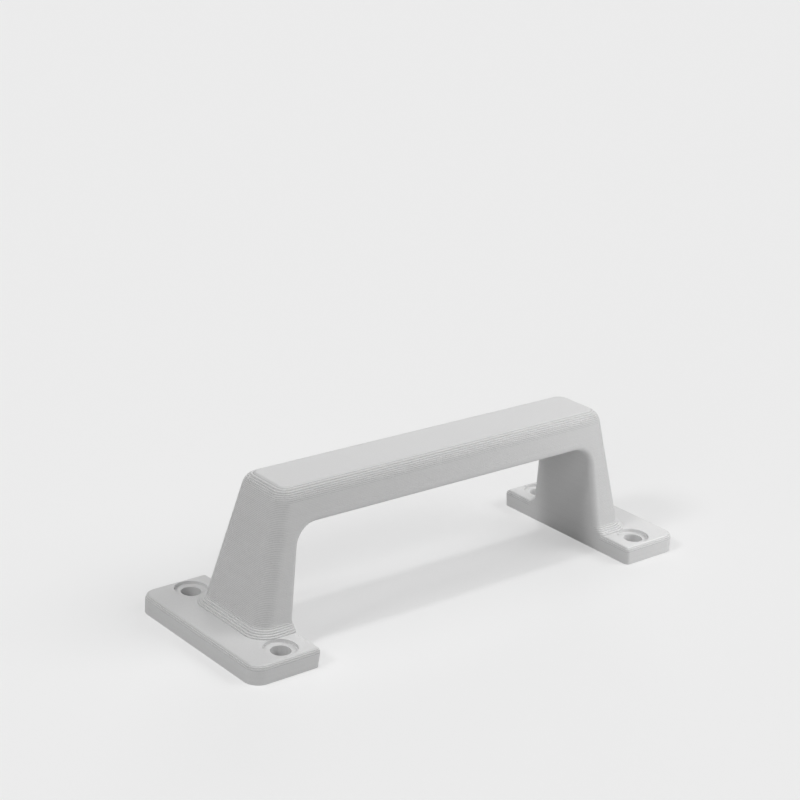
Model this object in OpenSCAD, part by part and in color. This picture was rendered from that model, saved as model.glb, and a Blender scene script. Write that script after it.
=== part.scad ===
// Pull handle for a garage door, printed as one piece.
// X runs along the grip, Y across it, and Z up from the face that the plates are screwed to.
// The origin is at the middle of that face.

/* [Overall] */
// Length over both plates
length = 148; // [130:1:220]
// Height from the plates' underside to the top of the grip
height = 40.5; // [36:0.5:60]

/* [Plates] */
// Width of a plate, across the grip
plate_width = 50; // [46:0.5:70]
// Depth of a plate, along the grip
plate_depth = 19.9; // [19:0.1:26]
// Thickness of a plate
plate_thickness = 5; // [4:0.25:8]
// Corner radius at the outer end of a plate
outer_corner = 4; // [1.5:0.25:7]
// Corner radius at the inner end of a plate
inner_corner = 1.25; // [0.5:0.25:3]
// Radius of a plate's upper edge
plate_edge = 1.5; // [0.25:0.25:2]

/* [Grip] */
// Distance from the outer end of a plate to the foot of its leg
leg_setback = 10; // [9:0.25:11.5]
// Depth of a leg at its foot, front to back
foot_depth = 26.5; // [20:0.5:27]
// Lean of the outer faces of the legs, in degrees
end_lean = 13; // [5:0.5:18]
// Lean of the front and back faces, in degrees
side_lean = 7.25; // [2:0.25:8]
// Radius of the upright corners of the legs
upright_corner = 4; // [2:0.25:5]
// Radius of the long edges and ends of the grip's top
top_edge = 4; // [1:0.25:5]
// Corner radius that is left on the flat of the top
top_corner = 0.75; // [0.5:0.25:1.5]
// Size of the chamfer between a leg and its plate
foot_chamfer = 2; // [0.5:0.25:2.5]

/* [Hand gap] */
// Thickness of the grip, from the gap to the top
grip_thickness = 9.7; // [7:0.1:14]
// Lean of the gap's ends, in degrees
gap_lean = 7; // [1:0.25:8]
// Radius of the gap's upper corners
gap_corner = 6; // [3:0.25:9]
// Radius of the gap's front and back edges
gap_edge = 1.75; // [0.5:0.25:2.5]

/* [Screw holes] */
// Diameter of the through hole, for an M5 screw
hole_d = 5.3; // [3.2:0.1:6.4]
// Diameter of the recess for the screw's head
head_d = 8.8; // [6.5:0.1:10]
// Depth of the recess for the screw's head
head_depth = 1; // [0.5:0.25:2.5]
// Distance from the outer end of a plate to a hole's centre
hole_from_end = 12; // [8:0.25:13]
// Distance from the side of a plate to a hole's centre
hole_from_side = 5.75; // [5.5:0.25:7]

/* [Hidden] */

// Segments in each rounded corner of a section
corner_steps = 10;
// Turn between sections along a rounded edge, in degrees
edge_turn = 7.5;
// Overshoot of a cutter past the surface that it cuts
past = 1;
// How far a surface passes its neighbour where the two would otherwise coincide
overlap = 0.02;
// Smallest radius that a corner keeps where an edge radius takes the rest
least_corner = 0.25;

gap_top = height - grip_thickness;
gap_centre_z = gap_top - gap_corner;

// Half length and half depth of the legs and grip at a height, before their edges are rounded
function end_wall(z) = length / 2 - leg_setback - (z - plate_thickness) * tan(end_lean);
function side_wall(z) = foot_depth / 2 - (z - plate_thickness) * tan(side_lean);

// Half length of the hand gap at a height
function gap_wall(z) = length / 2 - plate_depth - z * tan(gap_lean);

// How far an edge of a given radius stands off a wall that leans, at a turn along the edge
function edge_offset(radius, turn, lean) =
    turn <= lean ? 0 : radius * (1 / cos(lean) - cos(turn) - sin(turn) * tan(lean));

// One corner of a rounded section, as an arc about its own centre
function corner_arc(x, y, radius, from, z) = [
    for (i = [0:corner_steps])
        let (turn = from + 90 * i / corner_steps)
            [x + radius * cos(turn), y + radius * sin(turn), z]
];

// A rounded rectangle from x0 to x1 with its own radius at each end
function section(x0, x1, half_y, radius0, radius1, z) = concat(
    corner_arc(x1 - radius1, half_y - radius1, radius1, 0, z),
    corner_arc(x0 + radius0, half_y - radius0, radius0, 90, z),
    corner_arc(x0 + radius0, radius0 - half_y, radius0, 180, z),
    corner_arc(x1 - radius1, radius1 - half_y, radius1, 270, z)
);

// A skin over a stack of sections that have the same number of points
module loft(rings) {
    count = len(rings[0]);
    last = len(rings) - 1;
    sides = [
        for (k = [0:last - 1], i = [0:count - 1])
            let (a = k * count + i, b = k * count + (i + 1) % count)
                each [[a, a + count, b], [b, a + count, b + count]]
    ];
    bottom = [for (i = [0:count - 1]) i];
    top = [for (i = [0:count - 1]) last * count + count - 1 - i];
    polyhedron(points = [for (ring = rings) each ring], faces = concat([bottom], sides, [top]));
}

// A section of the legs and grip, moved outward by its own amount at the ends and at the sides
function grip_section(z, out_x, out_y, radius) = section(
    -end_wall(z) - out_x, end_wall(z) + out_x, side_wall(z) + out_y, radius, radius, z
);

// How far the chamfer at the foot stands out from the walls at a height
function foot_flare(z) = min(max(plate_thickness + foot_chamfer - z, 0), foot_chamfer);

// Legs and grip in one leaning block that starts at the plates' underside,
// flared at the foot and rounded at the top
module grip_block() {
    top_turns = concat([side_lean], [for (turn = [2 * edge_turn:edge_turn:90]) turn]);
    foot_rings = [
        for (z = [plate_thickness, plate_thickness + foot_chamfer])
            grip_section(z, foot_flare(z), foot_flare(z), upright_corner + foot_flare(z))
    ];
    top_rings = [
        for (turn = top_turns)
            let (
                z = height - top_edge * (1 - sin(turn)),
                in_x = edge_offset(top_edge, turn, end_lean),
                in_y = edge_offset(top_edge, turn, side_lean),
                share = in_y / edge_offset(top_edge, 90, side_lean)
            )
                grip_section(z, -in_x, -in_y, upright_corner + (top_corner - upright_corner) * share)
    ];
    bottom_ring = [for (p = foot_rings[0]) [p.x, p.y, 0]];
    loft(concat([bottom_ring], foot_rings, top_rings));
}

// Half depth of the legs and grip at a height, with the chamfer at the foot
function face_depth(z) = side_wall(max(z, plate_thickness)) + foot_flare(z);

// Outline of the hand gap, grown outward by an amount, as pairs of x and z
function gap_outline(grow) =
    let (
        centre_x = gap_wall(gap_centre_z) - gap_corner / cos(gap_lean),
        side_z = [-past, plate_thickness, plate_thickness + foot_chamfer],
        side = [for (z = side_z) [gap_wall(z) + grow / cos(gap_lean), z]],
        arc = [
            for (i = [0:corner_steps])
                let (turn = gap_lean + (90 - gap_lean) * i / corner_steps)
                    [centre_x + (gap_corner + grow) * cos(turn), gap_centre_z + (gap_corner + grow) * sin(turn)]
        ],
        half = concat(side, arc),
        count = len(half)
    )
        concat(half, [for (i = [count - 1:-1:0]) [-half[i].x, half[i].y]]);

// The hand gap as a cutter whose rounded edges follow the leaning front and back faces
module gap_cutter() {
    turns = [for (turn = [0:2 * edge_turn:90]) turn];
    function ring(turn, side) = [
        for (p = gap_outline(gap_edge * (1 - sin(turn))))
            [p.x, side * (face_depth(p.y) + overlap - gap_edge * (1 - cos(turn))), p.y]
    ];
    function outer_ring(side) = [
        for (p = gap_outline(gap_edge)) [p.x, side * (face_depth(plate_thickness) + past), p.y]
    ];
    back = [for (turn = turns) ring(turn, 1)];
    front = [for (i = [len(turns) - 1:-1:0]) ring(turns[i], -1)];
    loft(concat([outer_ring(1)], back, front, [outer_ring(-1)]));
}

// The plate at the +X end, with its upper edge rounded on all sides
module plate() {
    turns = [for (turn = [0:edge_turn:90]) turn];
    function ring(z, grow_in) = section(
        gap_wall(z) + overlap + grow_in, length / 2 - grow_in, plate_width / 2 - grow_in,
        max(inner_corner - grow_in, least_corner), max(outer_corner - grow_in, least_corner), z
    );
    edge_rings = [
        for (turn = turns)
            ring(plate_thickness - plate_edge * (1 - sin(turn)), plate_edge * (1 - cos(turn)))
    ];
    loft(concat([ring(0, 0)], edge_rings));
}

// A screw hole with a recess for the head, at the +X end
module screw_hole() {
    x = length / 2 - hole_from_end;
    y = plate_width / 2 - hole_from_side;
    translate([x, y, -past])
        cylinder(h = plate_thickness + 2 * past, d = hole_d, $fn = 64);
    translate([x, y, plate_thickness - head_depth])
        cylinder(h = head_depth + past, d = head_d, $fn = 64);
}

module handle() {
    color("lightgray")
        difference() {
            union() {
                difference() {
                    grip_block();
                    gap_cutter();
                }
                plate();
                mirror([1, 0, 0]) plate();
            }
            for (along = [0, 1], across = [0, 1])
                mirror([along, 0, 0]) mirror([0, across, 0]) screw_hole();
        }
}

handle();
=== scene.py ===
import math

import bmesh
import bpy
from mathutils import Matrix, Vector


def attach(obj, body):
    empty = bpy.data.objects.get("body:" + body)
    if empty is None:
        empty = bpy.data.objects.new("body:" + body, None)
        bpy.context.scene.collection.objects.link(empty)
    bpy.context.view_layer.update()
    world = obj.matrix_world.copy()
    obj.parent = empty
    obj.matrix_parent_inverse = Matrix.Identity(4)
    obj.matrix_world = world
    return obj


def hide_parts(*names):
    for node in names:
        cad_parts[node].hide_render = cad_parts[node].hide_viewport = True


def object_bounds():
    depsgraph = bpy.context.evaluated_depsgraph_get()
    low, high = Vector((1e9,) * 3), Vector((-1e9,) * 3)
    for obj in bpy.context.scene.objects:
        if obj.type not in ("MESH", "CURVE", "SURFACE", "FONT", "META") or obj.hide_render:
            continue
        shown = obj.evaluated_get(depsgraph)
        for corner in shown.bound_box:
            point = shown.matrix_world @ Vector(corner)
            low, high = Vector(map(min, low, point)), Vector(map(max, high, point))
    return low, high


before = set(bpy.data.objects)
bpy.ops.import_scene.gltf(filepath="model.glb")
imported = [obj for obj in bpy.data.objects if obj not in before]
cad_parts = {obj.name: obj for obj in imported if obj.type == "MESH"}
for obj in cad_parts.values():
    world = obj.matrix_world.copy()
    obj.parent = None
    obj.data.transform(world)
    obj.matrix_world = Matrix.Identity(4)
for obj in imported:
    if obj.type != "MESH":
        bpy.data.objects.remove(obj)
cadLow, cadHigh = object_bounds()

mm = 0.001


def toLinear(hexColour):
    parts = [int(hexColour[i:i + 2], 16) / 255 for i in (1, 3, 5)]
    linear = [c / 12.92 if c <= 0.04045 else ((c + 0.055) / 1.055) ** 2.4 for c in parts]
    return (*linear, 1.0)


# adds one node with its settings, and links each output given in links to the input at its place
def addNode(tree, kind, settings=None, links=()):
    node = tree.nodes.new(kind)
    for name, value in (settings or {}).items():
        if isinstance(name, int) or name in node.inputs:
            node.inputs[name].default_value = value
        else:
            setattr(node, name, value)
    for place, source in enumerate(links):
        if source is not None:
            tree.links.new(source, node.inputs[place])
    return node


camera = {
    "place": (-0.31361, -0.34266, 0.21956),
    "right": (0.76444, -0.64152, 0.06396),
    "up": (0.17429, 0.30116, 0.93751),
    "focalPixels": 1891.0,
    "framePixels": 800,
    "sensor": 36.0,
}


def makeCamera():
    data = bpy.data.cameras.new("viewCamera")
    data.sensor_fit = "HORIZONTAL"
    data.sensor_width = camera["sensor"]
    data.lens = camera["focalPixels"] / camera["framePixels"] * camera["sensor"]
    data.clip_start = 0.01
    data.clip_end = 50
    obj = bpy.data.objects.new("viewCamera", data)
    bpy.context.scene.collection.objects.link(obj)
    right = Vector(camera["right"]).normalized()
    up = Vector(camera["up"])
    up = (up - right * up.dot(right)).normalized()
    back = right.cross(up)
    turn = Matrix((right, up, back)).transposed().to_4x4()
    obj.matrix_world = Matrix.Translation(camera["place"]) @ turn
    bpy.context.scene.camera = obj


makeCamera()
print("camera set")

# A profile says how one layer's edge is drawn: each pair is a share of the layer's height on the
# smooth handle, and the share of the layer's height that this point is moved to.
printed = {
    "plateTop": 5 * mm,    # where the plates end and the legs' layers begin
    "plateLayers": 12,
    "legLayers": 84,       # counted in the photo from the plates' top to the grip's top
    "bead": [(0.48, 0.0), (0.52, 0.84), (0.57, 0.95), (0.63, 1.0)],
    "rim": [(0.2, 0.0), (0.45, 0.55), (0.6, 0.85), (0.75, 1.0)],    # layers whose top is bare
    "flatAngle": 0.1,      # degrees between two triangles of one flat face
    "sharpAngle": 40,      # degrees from which an edge stays sharp to the eye
    "tiny": 0.001 * mm,    # points this close are one
    "cutError": 0.0001 * mm,
}


# each layer as its lower height, its upper height and its profile
def layerList():
    plateTop = cadLow[2] + printed["plateTop"]
    platePitch = printed["plateTop"] / printed["plateLayers"]
    legPitch = (cadHigh[2] - plateTop) / printed["legLayers"]
    heights = [cadLow[2] + i * platePitch for i in range(printed["plateLayers"])]
    heights += [plateTop + i * legPitch for i in range(printed["legLayers"] + 1)]
    layers = [(low, high, printed["bead"]) for low, high in zip(heights, heights[1:])]
    for bare in (printed["plateLayers"] - 1, len(layers) - 1):
        layers[bare] = (*layers[bare][:2], printed["rim"])
    return layers


# height that a point of the smooth handle has once its layer is laid down
def steppedHeight(z, stack):
    for low, high, profile in stack:
        if z <= high + printed["tiny"]:
            share = (z - low) / (high - low)
            points = [(0, 0), *profile, (1, 1)]
            for (start, lower), (end, upper) in zip(points, points[1:]):
                if share <= end:
                    part = (share - start) / (end - start)
                    return low + (high - low) * (lower + (upper - lower) * min(max(part, 0), 1))
            return high
    return z


# cuts the smooth handle into layers, as a sliced print has them
def makeLayers(source, stack):
    mesh = bmesh.new()
    mesh.from_mesh(source.data)
    bmesh.ops.remove_doubles(mesh, verts=mesh.verts, dist=printed["tiny"])
    bmesh.ops.dissolve_limit(
        mesh, angle_limit=math.radians(printed["flatAngle"]), verts=mesh.verts, edges=mesh.edges,
    )
    for low, high, profile in stack:
        for share, _ in profile:
            bmesh.ops.bisect_plane(
                mesh, geom=mesh.verts[:] + mesh.edges[:] + mesh.faces[:], dist=printed["cutError"],
                plane_co=(0, 0, low + (high - low) * share), plane_no=(0, 0, 1),
            )
    # how far each face of the smooth handle leans back, kept for the material's painted crease shade
    mesh.normal_update()
    lean = mesh.faces.layers.float.new("lean")
    for face in mesh.faces:
        face[lean] = max(face.normal.z, 0)
    for vert in mesh.verts:
        vert.co.z = steppedHeight(vert.co.z, stack)
    bmesh.ops.remove_doubles(mesh, verts=mesh.verts, dist=printed["tiny"])
    bmesh.ops.dissolve_degenerate(mesh, edges=mesh.edges, dist=printed["tiny"])
    bmesh.ops.holes_fill(mesh, edges=[edge for edge in mesh.edges if edge.is_boundary])
    for face in mesh.faces:
        face.smooth = True
    for edge in mesh.edges:
        edge.smooth = edge.calc_face_angle(math.pi) < math.radians(printed["sharpAngle"])
    data = bpy.data.meshes.new("printedHandle")
    mesh.to_mesh(data)
    mesh.free()
    return data


layers = layerList()
handleData = makeLayers(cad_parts["handle"], layers)
handle = bpy.data.objects.new("printedHandle", handleData)
bpy.context.scene.collection.objects.link(handle)
print("layers cut:", len(handleData.polygons), "faces")

# PLA filament with a matte filler, melted and laid down in layers by a nozzle.
# Gives the eye a soft grey with a faint broad sheen, painted shade as fine dark lines between the
# layers of a wall that leans, a tone that changes a little from layer to layer, and the faint lines
# of the nozzle's path on faces that look up.
matteFilament = {
    "colour": "#D5D5D5",
    "roughness": 0.5,
    "ior": 1.46,
    "layerTone": 0.01,       # how far a layer's tone may lie from the colour
    "ledgeShift": 0.02,      # share of a layer by which its number is read lower, for one tone per ledge
    "paintedCreaseShade": 0.5,       # how much darker the painted shade in the crease at the foot of a layer is
    "creaseWidth": 0.3,      # share of a layer's height that the painted crease shade covers
    "creaseLean": (0.1, 0.22),    # upward part of the normal where it starts and where it is full
    "upFrom": 0.9,           # upward part of the normal from which a face looks up
    "grainSize": 0.3 * mm,   # the filler's grains are near 0.05 mm, drawn coarser to be seen
    "grainDetail": 3.0,
    "grainRange": (0.3, 0.7),     # where nearly all of the noise lies
    "grainTone": 0.02,
    "grainRelief": 0.3,      # height of the grains beside that of the path's lines
    "pathWidth": 0.45 * mm,
    "pathDepth": 0.006 * mm,
    "pathTurn": 45,          # degrees between the path's lines and the grip
}


def makeFilament():
    material = bpy.data.materials.new("matteFilament")
    material.use_nodes = True
    tree = material.node_tree
    shader = tree.nodes["Principled BSDF"]
    place = addNode(tree, "ShaderNodeTexCoord").outputs["Object"]

    # number of the layer that a point lies in
    platePitch = layers[0][1] - layers[0][0]
    legPitch = layers[-1][1] - layers[-1][0]
    z = addNode(tree, "ShaderNodeSeparateXYZ", {}, [place]).outputs["Z"]
    plate = addNode(tree, "ShaderNodeMath", {"operation": "MULTIPLY", 1: 1 / platePitch}, [z])
    above = addNode(tree, "ShaderNodeMath", {"operation": "SUBTRACT", 1: printed["plateTop"]}, [z])
    leg = addNode(
        tree, "ShaderNodeMath",
        {"operation": "MULTIPLY_ADD", 1: 1 / legPitch, 2: printed["plateLayers"]}, [above.outputs[0]],
    )
    number = addNode(tree, "ShaderNodeMath", {"operation": "MINIMUM"}, [plate.outputs[0], leg.outputs[0]])
    sunk = addNode(
        tree, "ShaderNodeMath", {"operation": "SUBTRACT", 1: matteFilament["ledgeShift"]},
        [number.outputs[0]],
    )
    layer = addNode(tree, "ShaderNodeMath", {"operation": "FLOOR"}, [sunk.outputs[0]])
    chance = addNode(tree, "ShaderNodeTexWhiteNoise", {"noise_dimensions": "1D"})
    tree.links.new(layer.outputs[0], chance.inputs["W"])

    # painted shade in the crease at the foot of each layer, deeper where the wall leans, but not on faces
    # that look up
    facing = addNode(tree, "ShaderNodeNewGeometry").outputs["True Normal"]
    upward = addNode(tree, "ShaderNodeSeparateXYZ", {}, [facing]).outputs["Z"]
    onTop = addNode(
        tree, "ShaderNodeMath", {"operation": "GREATER_THAN", 1: matteFilament["upFrom"]}, [upward],
    )
    phase = addNode(tree, "ShaderNodeMath", {"operation": "FRACT"}, [number.outputs[0]])
    lean = addNode(tree, "ShaderNodeAttribute", {"attribute_name": "lean"}).outputs["Fac"]
    leanStart, leanFull = matteFilament["creaseLean"]
    deepest = addNode(
        tree, "ShaderNodeMapRange",
        {"From Min": leanStart, "From Max": leanFull,
         "To Min": 1.0, "To Max": 1 - matteFilament["paintedCreaseShade"]},
        [lean],
    )
    creaseShadeRamp = addNode(
        tree, "ShaderNodeMapRange", {"From Max": matteFilament["creaseWidth"]},
        [phase.outputs[0], None, None, deepest.outputs[0]],
    )
    paintedCreaseShade = addNode(
        tree, "ShaderNodeMath", {"operation": "MAXIMUM"}, [creaseShadeRamp.outputs[0], onTop.outputs[0]],
    )

    # grains of the filler
    grain = addNode(
        tree, "ShaderNodeTexNoise",
        {"Scale": 1 / matteFilament["grainSize"], "Detail": matteFilament["grainDetail"]}, [place],
    )
    layerTone = addNode(
        tree, "ShaderNodeMapRange",
        {"To Min": 1 - matteFilament["layerTone"], "To Max": 1 + matteFilament["layerTone"]},
        [chance.outputs["Value"]],
    )
    grainLow, grainHigh = matteFilament["grainRange"]
    grainTone = addNode(
        tree, "ShaderNodeMapRange",
        {"From Min": grainLow, "From Max": grainHigh,
         "To Min": 1 - matteFilament["grainTone"], "To Max": 1 + matteFilament["grainTone"]},
        [grain.outputs[0]],
    )
    bare = addNode(
        tree, "ShaderNodeMath", {"operation": "MULTIPLY"}, [layerTone.outputs[0], grainTone.outputs[0]],
    )
    # layer and grain tone, darkened by the painted crease shade
    toneAndShade = addNode(
        tree, "ShaderNodeMath", {"operation": "MULTIPLY"}, [bare.outputs[0], paintedCreaseShade.outputs[0]],
    )
    colour = addNode(
        tree, "ShaderNodeVectorMath", {"operation": "SCALE", 0: toLinear(matteFilament["colour"])[:3]},
    )
    tree.links.new(toneAndShade.outputs[0], colour.inputs["Scale"])
    tree.links.new(colour.outputs[0], shader.inputs["Base Color"])

    # lines of the nozzle's path, only on faces that look up
    turn = math.radians(matteFilament["pathTurn"])
    turned = addNode(tree, "ShaderNodeMapping", {"Rotation": (0, 0, turn)}, [place])
    waveScale = math.pi / 10 / matteFilament["pathWidth"]    # a scale of 1 draws a wave each pi / 10
    path = addNode(
        tree, "ShaderNodeTexWave", {"Scale": waveScale, "Distortion": 0.0}, [turned.outputs[0]],
    )
    lines = addNode(tree, "ShaderNodeMath", {"operation": "MULTIPLY"}, [path.outputs[1], onTop.outputs[0]])
    relief = addNode(
        tree, "ShaderNodeMath", {"operation": "MULTIPLY_ADD", 1: matteFilament["grainRelief"]},
        [grain.outputs[0], None, lines.outputs[0]],
    )
    bump = addNode(tree, "ShaderNodeBump", {"Distance": matteFilament["pathDepth"]})
    tree.links.new(relief.outputs[0], bump.inputs["Height"])
    tree.links.new(bump.outputs[0], shader.inputs["Normal"])
    shader.inputs["Roughness"].default_value = matteFilament["roughness"]
    shader.inputs["IOR"].default_value = matteFilament["ior"]
    return material


handleData.materials.clear()
handleData.materials.append(makeFilament())
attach(handle, "root")
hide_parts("handle")
print("filament on")

studio = {
    "floorSide": 20.0,            # metres
    "floorColour": "#FAFAFA",     # to the camera
    "bounceColour": "#CECECE",    # to the handle, which keeps its sides darker than its top
    "paleColour": "#ECECEC",      # of the background, and of the floor where nothing shades it
    "floorGlow": 0.45,            # share of the floor's look that keeps its paleness in a shadow
    "fill": 0.02,                 # strength of the world's light on the handle
}
# soft lights far away, by azimuth, elevation and spread in degrees
farLamps = {
    "topLamp": {"azimuth": 90, "elevation": 83, "spread": 6, "strength": 0.55},
    "backLeftLamp": {"azimuth": 135, "elevation": 60, "spread": 30, "strength": 0.42},
    "backRightLamp": {"azimuth": 45, "elevation": 20, "spread": 30, "strength": 0.46},
    "leftLamp": {"azimuth": 180, "elevation": 40, "spread": 12, "strength": 0.78},
    "lowLeftLamp": {"azimuth": -150, "elevation": 20, "spread": 30, "strength": 0.36},
    "frontLeftLamp": {"azimuth": -120, "elevation": 40, "spread": 30, "strength": 0.22},
    "frontRightLamp": {"azimuth": -60, "elevation": 40, "spread": 30, "strength": 0.50},
    "rightLamp": {"azimuth": -30, "elevation": 40, "spread": 30, "strength": 0.82},
}
# a small softbox close to the right end, in metres, which makes the front brighter towards that end
nearLamp = {"azimuth": -40, "elevation": 20, "distance": 0.18, "side": 0.06, "watts": 0.064}


def makeFloor():
    half = studio["floorSide"] / 2
    data = bpy.data.meshes.new("floor")
    corners = [(-half, -half, 0), (half, -half, 0), (half, half, 0), (-half, half, 0)]
    data.from_pydata(corners, [], [(0, 1, 2, 3)])
    obj = bpy.data.objects.new("floor", data)
    bpy.context.scene.collection.objects.link(obj)
    material = bpy.data.materials.new("paperFloor")
    material.use_nodes = True
    tree = material.node_tree
    shader = tree.nodes["Principled BSDF"]
    seen = addNode(tree, "ShaderNodeLightPath").outputs["Is Camera Ray"]
    colour = addNode(
        tree, "ShaderNodeMixRGB",
        {"Color1": toLinear(studio["bounceColour"]), "Color2": toLinear(studio["floorColour"])}, [seen],
    )
    tree.links.new(colour.outputs[0], shader.inputs["Base Color"])
    shader.inputs["Roughness"].default_value = 1.0
    shader.inputs["Specular IOR Level"].default_value = 0.0
    glow = addNode(tree, "ShaderNodeEmission", {"Color": toLinear(studio["paleColour"]), "Strength": 1.0})
    share = addNode(tree, "ShaderNodeMath", {"operation": "MULTIPLY", 1: studio["floorGlow"]}, [seen])
    mix = addNode(
        tree, "ShaderNodeMixShader", {}, [share.outputs[0], shader.outputs[0], glow.outputs[0]],
    )
    tree.links.new(mix.outputs[0], tree.nodes["Material Output"].inputs["Surface"])
    data.materials.append(material)


# unit vector from the middle of the scene towards a lamp
def towardLamp(lamp):
    azimuth = math.radians(lamp["azimuth"])
    elevation = math.radians(lamp["elevation"])
    level = math.cos(elevation)
    return Vector((math.cos(azimuth) * level, math.sin(azimuth) * level, math.sin(elevation)))


def addLamp(name, data, lamp, distance=0.0):
    toward = towardLamp(lamp)
    obj = bpy.data.objects.new(name, data)
    obj.location = toward * distance
    obj.rotation_euler = toward.to_track_quat("Z", "Y").to_euler()
    bpy.context.scene.collection.objects.link(obj)
    return obj


def makeLamps():
    for name, lamp in farLamps.items():
        data = bpy.data.lights.new(name, "SUN")
        data.energy = lamp["strength"]
        data.angle = math.radians(lamp["spread"])
        addLamp(name, data, lamp)
    data = bpy.data.lights.new("nearLamp", "AREA")
    data.energy = nearLamp["watts"]
    data.size = nearLamp["side"]
    obj = addLamp("nearLamp", data, nearLamp, nearLamp["distance"])
    # it lights the handle alone, so that the floor stays even
    lit = bpy.data.collections.new("nearLampLights")
    lit.objects.link(handle)
    obj.light_linking.receiver_collection = lit


def makeWorld():
    world = bpy.data.worlds.new("studioWorld")
    world.use_nodes = True
    tree = world.node_tree
    tree.nodes.clear()
    colour = toLinear(studio["paleColour"])
    rays = addNode(tree, "ShaderNodeLightPath")
    fill = addNode(tree, "ShaderNodeBackground", {"Color": colour, "Strength": studio["fill"]})
    seen = addNode(tree, "ShaderNodeBackground", {"Color": colour, "Strength": 1.0})
    mix = addNode(
        tree, "ShaderNodeMixShader", {},
        [rays.outputs["Is Camera Ray"], fill.outputs[0], seen.outputs[0]],
    )
    addNode(tree, "ShaderNodeOutputWorld", {}, [mix.outputs[0]])
    bpy.context.scene.world = world


makeFloor()
makeLamps()
makeWorld()
bpy.context.scene.view_settings.view_transform = "Standard"
print("studio lit")
